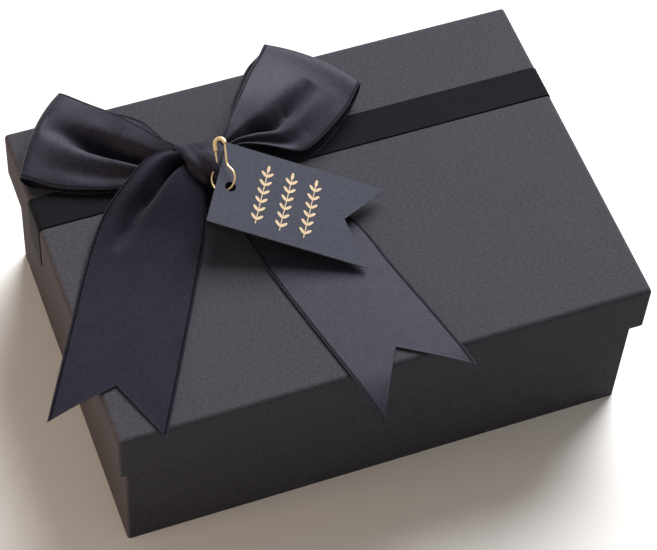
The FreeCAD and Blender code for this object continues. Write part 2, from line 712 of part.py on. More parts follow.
def sprig(length, thick):
    """A leafy sprig: a thin stem along Y with pairs of slanted oval leaves and one at the end."""
    leaf_long, leaf_short, leaf_slant, pairs, stem_wide = 1.5, 0.55, 45, 6, 0.35
    stem = Part.makeBox(stem_wide, length - leaf_long, thick, V(-stem_wide / 2, -length / 2, 0))
    leaf = Part.Face(Part.Wire(Part.Ellipse(V(0, 0, 0), leaf_long, leaf_short).toShape()))
    leaf = leaf.extrude(V(0, 0, thick))
    pitch = (length - 2 * leaf_long) / pairs
    shapes = []
    for i in range(pairs):
        for side in (-1, 1):
            one = leaf.copy()
            one.rotate(V(), V(0, 0, 1), 90 - side * leaf_slant)
            one.translate(V(side * 0.75 * leaf_long, -length / 2 + (i + 0.75) * pitch, 0))
            shapes.append(one)
    end = leaf.copy()
    end.rotate(V(), V(0, 0, 1), 90)
    end.translate(V(0, length / 2 - leaf_long, 0))
    return stem.multiFuse(shapes + [end]).removeSplitter()


def make_foil():
    """Three rows of sprigs, side by side down the tag."""
    rows = []
    for i in range(3):
        row = sprig(size("sprig_length"), size("foil_thick"))
        row.translate(V(size("sprig_first") + i * size("sprig_pitch"), 0, size("tag_thick")))
        rows.append(row)
    foil = feature("foil", Part.makeCompound(rows))
    foil.Placement = tag_place()
    node(foil, "tag_foil_print")


# ---------------------------------------------------------------- checks and files
def check_and_export():
    doc.recompute()
    for item in doc.Objects:
        if "Invalid" in item.State or "Error" in item.State:
            raise RuntimeError(f"{item.Name}: {item.State}")
    os.makedirs("parts", exist_ok=True)
    for label, piece in NODES.items():
        shape = piece.Shape
        if shape.isNull() or not shape.isValid() or not shape.Solids:
            raise RuntimeError(f"{label}: no valid solid")
        shape.exportStep(f"parts/{label}.step")
        print(f"{label}: {len(shape.Solids)} solid(s), {shape.Volume:.1f} mm3")
    print(len(NODES), "nodes")


make_tray()
make_lid()
make_band()
make_pin()
make_bow()
make_tag()
make_foil()
check_and_export()
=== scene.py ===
"""Looks for a gift box: wrapped tray and lid, satin band and bow, hanging tag and bulb pin.

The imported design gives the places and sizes. This file adds the satin ribbons, the materials,
the light and the camera. Lengths are metres unless a name or a comment says otherwise.
"""

import math

import bpy
import numpy as np
from mathutils import Matrix, Vector


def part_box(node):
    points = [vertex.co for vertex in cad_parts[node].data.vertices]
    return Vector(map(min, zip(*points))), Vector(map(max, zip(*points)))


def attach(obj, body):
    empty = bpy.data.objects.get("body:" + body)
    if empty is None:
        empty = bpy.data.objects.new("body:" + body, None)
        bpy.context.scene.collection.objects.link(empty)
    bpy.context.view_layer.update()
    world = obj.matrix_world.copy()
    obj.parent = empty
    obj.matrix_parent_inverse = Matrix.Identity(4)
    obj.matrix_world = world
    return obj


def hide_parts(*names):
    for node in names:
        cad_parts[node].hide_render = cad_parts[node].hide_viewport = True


bl_info = {
    "name": "Gift Box",
    "version": (1, 0, 0),
    "blender": (4, 5, 0),
    "location": "3D View > Sidebar > Gift Box",
    "description": "Ribbons, finishes and stage for a gift box with a lift-off lid",
    "category": "Object",
}

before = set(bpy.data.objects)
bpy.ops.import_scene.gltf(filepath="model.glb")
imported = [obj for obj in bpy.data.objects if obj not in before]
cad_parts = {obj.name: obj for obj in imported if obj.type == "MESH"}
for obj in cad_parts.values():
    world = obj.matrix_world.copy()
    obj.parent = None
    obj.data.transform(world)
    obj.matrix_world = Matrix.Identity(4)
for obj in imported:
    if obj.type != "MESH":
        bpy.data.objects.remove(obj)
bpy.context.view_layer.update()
MM = 0.001


def node_box(name):
    """Lowest and highest corner of a design node, as arrays."""
    low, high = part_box(name)
    return np.array(low), np.array(high)


LID_LOW, LID_HIGH = node_box("lid_wrap")
BAND_LOW, BAND_HIGH = node_box("ribbon_band")
KNOT_LOW, KNOT_HIGH = node_box("bow_knot")
LID_TOP = LID_HIGH[2]
BAND_THICK = BAND_HIGH[2] - LID_TOP
KNOT_FOOT = np.array([*((KNOT_LOW + KNOT_HIGH) / 2)[:2], LID_TOP])


# ---------------------------------------------------------------- settings
class GiftBoxRibbonSettings(bpy.types.PropertyGroup):
    """Sizes of the two ribbons and the headings of the bow's four ends."""

    width: bpy.props.FloatProperty(
        name="Ribbon width", description="Full width of the wide satin",
        default=0.040, unit="LENGTH",
    )
    thickness: bpy.props.FloatProperty(
        name="Ribbon thickness", description="Thickness of the satin",
        default=0.00026, unit="LENGTH",
    )
    selvedge: bpy.props.FloatProperty(
        name="Selvedge", description="Width of the thicker woven edge",
        default=0.0009, unit="LENGTH",
    )
    left_loop_heading: bpy.props.FloatProperty(
        name="Left loop heading", description="Plan direction from the knot",
        default=math.radians(148.2), subtype="ANGLE",
    )
    right_loop_heading: bpy.props.FloatProperty(
        name="Right loop heading", description="Plan direction from the knot",
        default=math.radians(31.1), subtype="ANGLE",
    )
    left_tail_heading: bpy.props.FloatProperty(
        name="Left tail heading", description="Plan direction from the knot",
        default=math.radians(240.7), subtype="ANGLE",
    )
    right_tail_heading: bpy.props.FloatProperty(
        name="Right tail heading", description="Plan direction from the knot",
        default=math.radians(285.1), subtype="ANGLE",
    )


class GiftBoxColourSettings(bpy.types.PropertyGroup):
    """Colours of the finishes."""

    paper: bpy.props.FloatVectorProperty(
        name="Wrapping paper", description="Matt charcoal paper", subtype="COLOR",
        default=(0.0405, 0.0392, 0.0465),
    )
    liner: bpy.props.FloatVectorProperty(
        name="Liner", description="Black paper inside the box", subtype="COLOR",
        default=(0.012, 0.012, 0.014),
    )
    satin: bpy.props.FloatVectorProperty(
        name="Wide satin", description="Midnight satin of the bow", subtype="COLOR",
        default=(0.0120, 0.0118, 0.0185),
    )
    band: bpy.props.FloatVectorProperty(
        name="Narrow satin", description="Black satin of the band", subtype="COLOR",
        default=(0.006, 0.006, 0.0075),
    )
    card: bpy.props.FloatVectorProperty(
        name="Tag card", description="Slate card", subtype="COLOR",
        default=(0.045, 0.0475, 0.063),
    )
    gold: bpy.props.FloatVectorProperty(
        name="Gold", description="Pale gold metal", subtype="COLOR",
        default=(0.90, 0.68, 0.36),
    )
    foil: bpy.props.FloatVectorProperty(
        name="Foil", description="Warm metallic print", subtype="COLOR",
        default=(0.29, 0.22, 0.14),
    )


class GiftBoxStageSettings(bpy.types.PropertyGroup):
    """Floor and lights."""

    floor: bpy.props.FloatVectorProperty(
        name="Floor", description="Pale studio floor", subtype="COLOR",
        default=(0.62, 0.62, 0.62),
    )
    key_power: bpy.props.FloatProperty(
        name="Key light", description="Soft light from the back right", default=74.0, unit="POWER"
    )
    warm_power: bpy.props.FloatProperty(
        name="Warm light", description="Low warm light on the left", default=7.5, unit="POWER"
    )
    sky: bpy.props.FloatProperty(
        name="Sky", description="Strength of the even light from all round", default=0.34
    )


# ---------------------------------------------------------------- mesh building
def mesh_object(name, vertices, faces, uv=None):
    """A smooth mesh object whose UV map, where given, is a value for each vertex."""
    mesh = bpy.data.meshes.new(name)
    mesh.from_pydata(vertices.reshape(-1, 3).tolist(), [], faces)
    mesh.validate()
    if uv is not None:
        layer = mesh.uv_layers.new(name="UVMap")
        corner = np.empty(len(mesh.loops), np.int32)
        mesh.loops.foreach_get("vertex_index", corner)
        layer.data.foreach_set("uv", uv.reshape(-1, 2)[corner].astype(np.float32).ravel())
    mesh.polygons.foreach_set("use_smooth", np.ones(len(mesh.polygons), bool))
    mesh.update()
    piece = bpy.data.objects.new(name, mesh)
    bpy.context.scene.collection.objects.link(piece)
    return piece


def signed_volume(vertices, faces):
    """Sum of the signed tetrahedra under the faces: positive if they point outwards."""
    total = 0.0
    for size in {len(face) for face in faces}:
        group = np.array([face for face in faces if len(face) == size])
        corners = vertices.reshape(-1, 3)[group]
        for k in range(1, size - 1):
            total += np.einsum(
                "ij,ij->i", corners[:, 0], np.cross(corners[:, k], corners[:, k + 1])
            ).sum()
    return total / 6


def grid_faces(rows, columns, wrap_columns=False):
    """Quads of a grid of vertices, joined round if wrap_columns."""
    i = np.arange(rows - 1)[:, None]
    j = np.arange(columns if wrap_columns else columns - 1)[None, :]
    k = (j + 1) % columns
    quads = np.stack(
        [i * columns + j, i * columns + k, (i + 1) * columns + k, (i + 1) * columns + j], axis=-1
    )
    return quads.reshape(-1, 4).tolist()


def unit(vectors):
    """Each vector over its own length."""
    return vectors / np.maximum(np.linalg.norm(vectors, axis=-1, keepdims=True), 1e-12)


def joined(*parts):
    """Arrays spread to one shape and set side by side on a new last axis."""
    return np.stack(np.broadcast_arrays(*parts), axis=-1)


def running(steps):
    """Sums of the steps so far, from nought."""
    return np.concatenate([[0], np.cumsum(steps)])


def bell(x, centre, width):
    """One at the centre; e to the minus square of the distance from it in widths."""
    return np.exp(-(((x - centre) / width) ** 2))


def flat_bell(x, centre, width):
    """A bell with a flatter top: the fourth power takes the place of the square."""
    return np.exp(-(((x - centre) / width) ** 4))


def sheet_object(name, middle, uv, half_thick):
    """A closed thin sheet about a middle surface.

    The two skins stand half_thick away from the middle grid along its normal, which is the cross
    product of its two differences; half_thick is zero on the first and last column, so the
    skins meet there, and the first and last rows are closed with a strip of faces.
    """
    rows, columns = middle.shape[:2]
    normal = unit(np.cross(np.gradient(middle, axis=0), np.gradient(middle, axis=1)))
    lift = normal * half_thick[None, :, None]
    ring = np.concatenate([middle + lift, (middle - lift)[:, -2:0:-1]], axis=1)
    ring_uv = np.concatenate([uv, uv[:, -2:0:-1]], axis=1)
    around = ring.shape[1]
    faces = grid_faces(rows, around, wrap_columns=True)
    for row, turn in ((0, 1), (rows - 1, -1)):
        for k in range(columns - 1):
            corners = [k, k + 1, around - k - 1, (around - k) % around]
            strip = [row * around + c for c in dict.fromkeys(corners)]
            faces.append(strip[::turn])
    if signed_volume(ring, faces) < 0:
        faces = [face[::-1] for face in faces]
    return mesh_object(name, ring, faces, ring_uv)


def closed_rings(rings, first_tip, last_tip):
    """Vertices and outward faces of a row of rings, closed at each end by a fan to a tip."""
    rows, sides = rings.shape[:2]
    vertices = np.concatenate([rings.reshape(-1, 3), [first_tip, last_tip]])
    k = np.arange(sides)
    n = (k + 1) % sides
    first = np.stack([np.full(sides, rows * sides), n, k], axis=1)
    end = (rows - 1) * sides
    last = np.stack([np.full(sides, rows * sides + 1), end + k, end + n], axis=1)
    faces = grid_faces(rows, sides, wrap_columns=True) + first.tolist() + last.tolist()
    if signed_volume(vertices, faces) < 0:
        faces = [face[::-1] for face in faces]
    return vertices, faces


def smooth_at(points, place):
    """A smooth line through a few points, read at any places from 0 to 1.

    It is a natural cubic spline over the summed distances between the points.
    """
    points = np.array(points, float)
    steps = np.linalg.norm(np.diff(points, axis=0), axis=1)
    knots = running(steps)
    n = len(points)
    matrix = np.eye(n)
    right = np.zeros_like(points)
    inner = np.arange(1, n - 1)
    before, after = steps[:-1], steps[1:]
    matrix[inner, inner - 1] = before
    matrix[inner, inner] = 2 * (before + after)
    matrix[inner, inner + 1] = after
    slopes = np.diff(points, axis=0) / steps[:, None]
    right[1:-1] = 6 * np.diff(slopes, axis=0)
    bend = np.linalg.solve(matrix, right)
    at = np.asarray(place, float) * knots[-1]
    i = np.clip(np.searchsorted(knots, at, side="right") - 1, 0, n - 2)
    h = steps[i][..., None]
    x = (at - knots[i])[..., None]
    y = h - x
    curve = bend[i] * y**3 + bend[i + 1] * x**3
    line = (points[i] - bend[i] * h * h / 6) * y + (points[i + 1] - bend[i + 1] * h * h / 6) * x
    return curve / (6 * h) + line / h


def smooth_steps(at, points):
    """A value that eases from one (place, value) point to the next."""
    points = np.array(points, float)
    i = np.clip(np.searchsorted(points[:, 0], at, side="right") - 1, 0, len(points) - 2)
    share = (at - points[i, 0]) / (points[i + 1, 0] - points[i, 0])
    return points[i, 1] + (points[i + 1, 1] - points[i, 1]) * ease(share)


def ease(x):
    """Rises from 0 to 1 with level ends: three times the square less twice the cube."""
    x = np.clip(x, 0, 1)
    return x * x * (3 - 2 * x)


# ---------------------------------------------------------------- gathered ribbon
ACROSS = 45  # columns across a ribbon, between its selvedges
MAX_DEPTH = 12  # deepest pleat looked for, in halves of the gathered width
SOFTENING = 0.03  # slack at which the pleats reach seven tenths of their full depth
TIGHTEST = 0.15  # smallest share of its width that a ribbon is gathered to
LOWEST = 0.45  # least height of a ribbon's middle over the lid, in millimetres
BEAD = 0.35  # how much thicker a selvedge's bead is


def pleat_wave(pleats, place, t):
    """Sum of valleys across the ribbon, each a bell of its own depth share, centre and width.

    A pleat is (share, centre near the knot, centre far from it, width); place runs from 0 at the
    knot to 1 at the far end, and t from -1 to 1 across.
    """
    wave = 0
    for share, near, far, wide in pleats:
        centre = near + (far - near) * place
        wave = wave - share * bell(t, centre, wide)
    return wave


def gather_depth(pleats, share):
    """How deep the pleats must be for a gathered ribbon to hold its full width.

    The arc length across the pleats is worked out for many depths, and the table is read
    backwards: share is the gathered width over the full one, and the depth that it gives is in
    halves of the gathered width. The depth is then softened by the root of slack over slack and
    a little more, so that it grows gently where the ribbon is nearly flat.
    """
    t = np.linspace(-1, 1, 801)
    slope = np.gradient(pleat_wave(pleats, 0, t), t)
    depths = np.linspace(0, MAX_DEPTH, 400)
    lengths = np.sqrt(1 + (depths[:, None] * slope[None, :]) ** 2).mean(axis=1)
    slack = 1 / share - 1
    return np.interp(-share, -(1 / lengths), depths) * np.sqrt(slack / (slack + SOFTENING))


def cross_columns(count):
    """Columns across a ribbon: even, with three more at each edge for the selvedge."""
    settings = bpy.context.scene.giftbox_ribbon
    inner = 1 - 2 * settings.selvedge / settings.width
    even = np.linspace(-inner, inner, count)
    rim = 1 - np.array([0, 0.2, 0.6]) * (1 - inner)
    return np.concatenate([-rim, even, rim[::-1]])


def half_thickness(t, width):
    """Half the ribbon's thickness across it: level, with a bell-shaped bead in each selvedge.

    It is nothing at the very edge, where the two skins meet.
    """
    settings = bpy.context.scene.giftbox_ribbon
    edge = (1 - np.abs(t)) * width / 2
    bead = bell(edge, 0.45 * settings.selvedge, 0.35 * settings.selvedge)
    return np.where(edge < 1e-9, 0, settings.thickness / 2 * (1 + BEAD * bead))


def ribbon_surface(shape, place, t):
    """The middle surface of a ribbon that runs between two edge lines.

    The edges are smooth lines through pairs of points (out, across, up), in millimetres from the
    knot's foot. Each point lies between them in proportion to t. It is lowered by the pleats,
    whose depth takes up what the gap between the edges leaves of the full width, times the gain
    and no more than the cap. The crown raises it and the bulge moves it out, each as a parabola
    across the ribbon.
    """
    full = bpy.context.scene.giftbox_ribbon.width / MM
    edges = smooth_at(np.array([[*low, *high] for low, high in shape["edges"]]), place)
    low, high = edges[..., :3], edges[..., 3:]
    gap = np.linalg.norm(high - low, axis=-1)
    depth = gather_depth(shape["pleats"], np.clip(gap / full, TIGHTEST, 1)) * gap / 2
    depth = np.minimum(depth * shape["gain"], smooth_steps(place, shape["cap"]))
    wave = depth * pleat_wave(shape["pleats"], place * shape["fan"], t)
    crown = smooth_steps(place, shape["crown"]) * (1 - t * t)
    bulge = smooth_steps(place, shape["bulge"]) * (1 - t * t)
    surface = low + (high - low) * (t[..., None] + 1) / 2
    surface[..., 0] += bulge
    surface[..., 2] = np.maximum(surface[..., 2] + wave + crown, LOWEST)
    return surface


def ribbon_uv(middle, t, width):
    """UV along and across the ribbon, in widths: the mean run of its columns, and t."""
    steps = np.linalg.norm(np.diff(middle, axis=0), axis=2).mean(axis=1)
    return joined(running(steps)[:, None] / width, t[None, :] / 2 + 0.5)


def placed(local, heading):
    """Turns (out, across, up) millimetre grids to a heading and moves them to the knot."""
    c, s = math.cos(heading), math.sin(heading)
    x, y, z = local[..., 0], local[..., 1], local[..., 2]
    return KNOT_FOOT + joined(x * c - y * s, x * s + y * c, z) * MM


def dress(piece, material, node):
    """Gives a ribbon its satin and its body, and hides the design node that it takes the place of.
    """
    piece.data.materials.append(material)
    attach(piece, "lid")
    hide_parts(node)


def ribbon_piece(name, middle, t, satin):
    """Makes one end of the bow as a sheet, and hides the design node that it takes the place of.
    """
    width = bpy.context.scene.giftbox_ribbon.width
    piece = sheet_object(name, middle, ribbon_uv(middle, t, width), half_thickness(t, width))
    dress(piece, satin, f"bow_{name}")


# ---------------------------------------------------------------- loops
# A ribbon's shape, in millimetres:
#   edges   pairs of points (out, across, up) on its two edges, from the knot and, in a loop, back
#   pleats  each (share of the depth, centre near the knot, centre far from it, width)
#   gain    what the pleats' depth is multiplied by
#   fan     how fast the pleats move from their near centres to their far ones
#   cap, crown, bulge    (place along, value) points: the deepest that the pleats may be, how far
#           the middle is raised, and how far it is moved out
LEFT_LOOP = {
    "edges": [
        ((2, 0.5, 10.5), (2, 2.5, 6.5)),
        ((10.5, -2.2, 13.2), (9, 5, 5.6)),
        ((16, -3.5, 14), (15, 8.5, 4.8)),
        ((22, -5.6, 14.4), (21.5, 11.5, 4.0)),
        ((28.8, -8.8, 13.4), (28, 14, 3.5)),
        ((36, -12.5, 11.5), (34.5, 16, 3.2)),
        ((43.4, -15.8, 9.2), (43.5, 18, 3.2)),
        ((51.8, -19.1, 7.1), (54, 19.2, 3.7)),
        ((60, -21.3, 5.5), (63.6, 19.4, 4.4)),
        ((58.8, -21.6, 3.2), (62.2, 19.5, 2.0)),
        ((51, -21, 2.2), (55, 19.4, 0.8)),
        ((38, -21, 1), (42, 18, 0.6)),
        ((28, -19.5, 1), (29, 14, 0.6)),
        ((17, -11, 3.5), (17, 9, 2)),
        ((9, -6, 6), (8, 4, 5)),
        ((2, -2, 7), (2, 2, 6)),
    ],
    "pleats": [(1.0, 0.08, -0.08, 0.2), (0.3, 0.6, 0.65, 0.2)],
    "gain": 1.3,
    "fan": 2.0,
    "cap": [
        (0, 1.5), (0.08, 4), (0.2, 8.5), (0.34, 8.5), (0.44, 4.5), (0.5, 1.2), (0.6, 0.3),
        (1, 0.3),
    ],
    "crown": [(0, 0), (0.12, 1), (0.26, 3.4), (0.4, 6.0), (0.5, 3.2), (0.56, 0.6), (1, 0)],
    "bulge": [(0, 0), (0.3, 0.2), (0.5, 1.9), (0.62, 1.2), (0.8, 0), (1, 0)],
}
RIGHT_LOOP = {
    "edges": [
        ((2, -2, 8), (2, 1, 10.5)),
        ((9, -2.7, 9), (8, 0.7, 11.8)),
        ((15.4, -4.4, 9), (13.5, 1.3, 12.5)),
        ((20, -8.5, 8), (18, 3.3, 13.3)),
        ((23.4, -12.5, 6.8), (22.5, 5.4, 13.7)),
        ((27, -17.4, 5.2), (27, 7.2, 14)),
        ((29.8, -21, 4.6), (31, 8.8, 14)),
        ((33.5, -22.9, 5), (35.5, 10.7, 13.6)),
        ((40, -23.8, 6.2), (41, 13, 12.6)),
        ((49, -23.8, 8), (47.5, 15.4, 11)),
        ((59, -22.3, 9.4), (53.5, 17.6, 9.6)),
        ((66.2, -20.2, 9.6), (57.9, 19.5, 8)),
        ((65.6, -20.3, 6.4), (57.1, 19.9, 4.8)),
        ((60, -21.8, 3), (51, 20.5, 2)),
        ((50, -23.4, 0.8), (42, 18, 0.9)),
        ((38.7, -24.4, 0.6), (34, 14.6, 1)),
        ((31.5, -23.6, 0.6), (28, 11, 1.2)),
        ((26, -19, 0.8), (22, 8, 2)),
        ((19, -10, 2.2), (15, 5, 3.5)),
        ((9, -4, 5), (8, 3, 5.5)),
        ((2, -2, 6), (2, 2, 7)),
    ],
    "pleats": [(1.0, 0.10, -0.2, 0.18), (0.3, -0.62, -0.66, 0.18)],
    "gain": 1.5,
    "fan": 2.0,
    "cap": [
        (0, 1.5), (0.08, 4.5), (0.2, 8.5), (0.3, 6), (0.4, 3), (0.5, 1), (0.6, 0.3), (1, 0.3),
    ],
    "crown": [(0, 0), (0.12, 0.6), (0.3, 2.0), (0.42, 1.4), (0.5, 1.1), (0.56, 0.4), (1, 0)],
    "bulge": [(0, 0), (0.3, 0.3), (0.5, 2.2), (0.62, 1.6), (0.8, 0), (1, 0)],
}


def make_loops():
    """The bow's two loops, each one sheet that goes out, turns over and comes back underneath."""
    settings = bpy.context.scene.giftbox_ribbon
    t = cross_columns(ACROSS)
    place = np.linspace(0, 1, 220)
    satin = satin_material("satin_face", "satin")
    for name, shape, heading in (
        ("left_loop", LEFT_LOOP, settings.left_loop_heading),
        ("right_loop", RIGHT_LOOP, settings.right_loop_heading),
    ):
        middle = placed(ribbon_surface(shape, *np.meshgrid(place, t, indexing="ij")), heading)
        ribbon_piece(name, middle, t, satin)


# ---------------------------------------------------------------- tails
# A tail's shape has three more values: its reach from the knot, the depth of its swallowtail
# notch, and how fast it droops past the lid's edge.
LEFT_TAIL = {
    "edges": [
        ((-1, -3, 9.5), (2.5, 1, 7.5)),
        ((-2, -9.5, 12), (5.5, 1.6, 8.2)),
        ((1, -16, 13.3), (9, 2.2, 8.2)),
        ((6, -21, 13.2), (13, 3.1, 7.4)),
        ((12.5, -24.6, 11.6), (17.5, 4.2, 5.8)),
        ((18.5, -28, 9), (22, 5.2, 4.3)),
        ((25, -31, 6.2), (27.5, 5.7, 3)),
        ((34, -33, 3.4), (35, 6.1, 1.8)),
        ((47, -33.9, 1.5), (47, 6.6, 0.9)),
        ((70, -33.7, 0.6), (70, 7.3, 0.6)),
        ((91, -33.4, 0.6), (91, 7.9, 0.6)),
        ((111.5, -33.2, 0.6), (110.8, 8.3, 0.6)),
    ],
    "pleats": [(1.0, -0.16, -0.46, 0.13), (-0.25, -0.5, -0.75, 0.16)],
    "gain": 1.3,
    "fan": 3.0,
    "cap": [(0, 3), (0.08, 8), (0.2, 6.5), (0.32, 2.5), (0.44, 0), (1, 0)],
    "crown": [(0, 0), (0.1, 1.5), (0.2, 1.8), (0.35, 0.8), (0.5, 0.2), (1, 0.2)],
    "bulge": [(0, 0), (1, 0)],
    "reach": 111.0, "notch": 17.5, "droop": 0.0042,
}
RIGHT_TAIL = {
    "edges": [
        ((1, -2, 6.5), (1, 1.5, 6.5)),
        ((6, -2.2, 6.8), (6, 3.5, 6.8)),
        ((11, -2.2, 6), (12.5, 8, 5.6)),
        ((16, -2.1, 4.6), (19, 14.5, 4.2)),
        ((22, -2.2, 3), (26, 21.5, 3)),
        ((31, -2.8, 1.7), (34, 29, 2.1)),
        ((43, -3.7, 0.9), (46, 34.6, 1.2)),
        ((61, -4.4, 0.6), (63, 35.2, 0.7)),
        ((90, -5, 0.6), (91, 35.2, 0.6)),
        ((120.5, -5.1, 0.6), (120, 34.8, 0.6)),
    ],
    "pleats": [(1.0, -0.2, -0.2, 0.2), (0.7, 0.4, 0.4, 0.2)],
    "gain": 1.0,
    "fan": 1.0,
    "cap": [(0, 2), (0.1, 3), (0.22, 1.2), (0.34, 0), (1, 0)],
    "crown": [(0, 0), (0.1, 1), (0.3, 1.2), (0.5, 0.3), (1, 0.2)],
    "bulge": [(0, 0), (1, 0)],
    "reach": 119.5, "notch": 21.0, "droop": 0.0115,
}


def tail_middle(shape):
    """A tail's surface, each column of which ends where the swallowtail is cut.

    The cut is at the reach less the notch's depth times one minus |t|.
    """
    t = cross_columns(ACROSS)
    places = np.linspace(0, 1, 400)
    along = ribbon_surface(shape, places, np.zeros_like(places))[:, 0]
    last = np.interp(shape["reach"] - shape["notch"] * (1 - np.abs(t)), along, places)
    place = np.linspace(0, 1, 190)[:, None] * last[None, :]
    return ribbon_surface(shape, place, np.broadcast_to(t, place.shape)), t


def droop(middle, rate):
    """Past the lid's edge the ribbon falls by the square of the overhang in mm, times the rate."""
    left = np.maximum(LID_LOW[0] - middle[..., 0], 0)
    front = np.maximum(LID_LOW[1] - middle[..., 1], 0)
    fall = rate * (left**2 + front**2) / MM
    return middle - fall[..., None] * [0, 0, 1]


def make_tails():
    """The bow's two tails. The left one shows the ribbon's duller back."""
    settings = bpy.context.scene.giftbox_ribbon
    for name, shape, heading, satin in (
        ("left_tail", LEFT_TAIL, settings.left_tail_heading,
         satin_material("satin_back", "satin", shine=0.1)),
        ("right_tail", RIGHT_TAIL, settings.right_tail_heading,
         satin_material("satin_face", "satin")),
    ):
        local, t = tail_middle(shape)
        middle = droop(placed(local, heading), shape["droop"])
        ribbon_piece(name, middle, t, satin)


# ---------------------------------------------------------------- knot
# Lengths are millimetres from the knot's foot. Turns are radians, from the back over the top.
KNOT_PROFILE = [
    (-6.4, 3.4), (-7.2, 5.6), (-7.3, 7.4), (-6.6, 8.2), (-3.4, 8.5), (0, 8.6), (4.2, 8.5),
    (7.6, 7.8), (9.0, 6.2), (9.0, 4.4), (7.4, 2.4),
]
KNOT_SLANT = math.radians(-4)  # the barrel's line, from the X axis
KNOT_SHEAR = 4.2  # how far its ends run aslant
KNOT_HEIGHT = 7.9  # its line, over the lid
KNOT_WIDE, KNOT_TALL = 1.04, 0.88  # its section, over the profile's size
KNOT_ROUNDNESS = 0.8  # 1 is round, and less is squarer
KNOT_TOP = 2.12  # the turn at the pin's needle, and the middle of the pleat
KNOT_PLAIN = 4  # size below which the ends have no relief; it grows in over as much again
KNOT_CLEAR = 0.05  # between the knot and the band
KNOT_MEAN_SIZE = 9  # radius that gives the length along the strand
KNOT_STRAND = 20  # the strand's width where it is wrapped
# The pleat and the ridge that run round it: height, centre, sway of the centre, width.
KNOT_PLEAT = (-0.55, 2.2, 2.4, 1.1)
KNOT_RIDGE = (0.30, -5.0, 0.5, 1.3)
PLEAT_SPAN = 0.9  # how far round the pleat goes each way
# The dome over the needle: height, centre, width before the centre and after it.
KNOT_DOME = (4.3, 0.3, 3.4, 1.7)
DOME_SPAN = 0.55  # how far round the dome goes each way


def make_knot():
    """The knot: one strand of ribbon wrapped over the crossing, back to front.

    The wrap is a barrel about the bow's line. Its profile is a smooth line of (along, size), and
    its section is a rounded square: cosine and sine are raised to a power below one. The barrel
    is sheared, so that its ends run aslant over the top. One pleat and one ridge run round it,
    each a bell across the barrel, a low dome covers the pin's needle, and the underside is flat
    where it sits on the band.
    """

    def rounded_square(wave):
        return np.sign(wave) * np.abs(wave) ** KNOT_ROUNDNESS

    def swaying(height, centre, sway, width):
        return height * bell(along + sway * s, centre, width)

    profile = smooth_at(KNOT_PROFILE, np.linspace(0, 1, 80))
    along, size = profile[:, :1], profile[:, 1:]
    turn = np.linspace(0, 2 * np.pi, 110, endpoint=False)[None, :]
    c, s = np.cos(turn), np.sin(turn)
    body = ease((size - KNOT_PLAIN) / KNOT_PLAIN)
    pleat = swaying(*KNOT_PLEAT) * flat_bell(turn, KNOT_TOP, PLEAT_SPAN)
    height, centre, before, after = KNOT_DOME
    over_needle = bell(along, centre, np.where(along < centre, before, after))
    dome = height * over_needle * flat_bell(turn, KNOT_TOP, DOME_SPAN)
    size = size + (pleat + swaying(*KNOT_RIDGE) + dome) * body
    out = along - KNOT_SHEAR * c * body
    across = size * KNOT_WIDE * rounded_square(c)
    up = np.maximum(
        KNOT_HEIGHT + size * KNOT_TALL * rounded_square(s), BAND_THICK / MM + KNOT_CLEAR
    )
    grid = placed(joined(out, across, up), KNOT_SLANT)
    rows, sides = grid.shape[:2]
    vertices, faces = closed_rings(grid, grid[0].mean(axis=0), grid[-1].mean(axis=0))
    uv = np.zeros((len(vertices), 2))
    ribbon = bpy.context.scene.giftbox_ribbon.width / MM
    uv[: rows * sides] = joined(
        np.abs(turn - np.pi) * KNOT_MEAN_SIZE / ribbon, along / KNOT_STRAND + 0.5
    ).reshape(-1, 2)
    piece = mesh_object("knot_wrap", vertices, faces, uv)
    dress(piece, satin_material("satin_knot", "satin", shine=0.5), "bow_knot")


# ---------------------------------------------------------------- narrow band
BAND_EDGE = 2.0 * MM  # radius that the band turns over the lid's top edges
SKIRT_WALL = 2.05 * MM  # lid's board, wrap and liner, that the band passes under
TURN_IN = 10 * MM  # how far up inside the skirt the band goes
FOLD = 0.5 * MM  # straight stretch left before each bend
RIM_BEND = 0.2 * MM  # cut off each corner under the rim
BAND_BEAD = 0.25  # how much thicker its selvedges are


def make_band():
    """The band: a strip along the lid's section, over the top edges, round the rims and inside.

    Half of its line is made, from the right end's inside to the middle of the lid, and is then
    mirrored.
    """
    settings = bpy.context.scene.giftbox_ribbon
    half = BAND_THICK / 2
    radius = BAND_EDGE + half
    right, top, rim = LID_HIGH[0] + half, LID_TOP + half, LID_LOW[2] - half
    inner = LID_HIGH[0] - SKIRT_WALL - half
    side = np.array([
        (inner, BAND_LOW[2] + TURN_IN), (inner, rim + FOLD), (inner + RIM_BEND, rim),
        (right - RIM_BEND, rim), (right, rim + FOLD), (right, top - radius - FOLD),
    ])
    quarter = np.linspace(0, np.pi / 2, 14)
    corner = [right - radius, top - radius] + radius * joined(np.cos(quarter), np.sin(quarter))
    level = np.linspace(right - radius - MM, 0, 60)
    half_path = np.concatenate([side, corner, joined(level, top)])
    path = np.concatenate([half_path, half_path[-2::-1] * [-1, 1]])
    width = BAND_HIGH[1] - BAND_LOW[1]
    inner_t = 1 - 2 * settings.selvedge / width
    rim_t = (1 + inner_t) / 2
    t = np.concatenate([[-1, -rim_t], np.linspace(-inner_t, inner_t, 9), [rim_t, 1]])
    y = (BAND_LOW[1] + BAND_HIGH[1]) / 2 + t * width / 2
    middle = joined(path[:, None, 0], y[None, :], path[:, None, 1])
    thick = np.where(np.abs(t) == 1, 0, half * (1 + BAND_BEAD * (np.abs(t) > inner_t)))
    run = running(np.linalg.norm(np.diff(path, axis=0), axis=1))
    uv = joined(run[:, None] / settings.width, t[None, :] / 2 + 0.5)
    piece = sheet_object("narrow_band", middle, uv, thick)
    dress(piece, satin_material("band_satin", "band", shine=0.0), "ribbon_band")


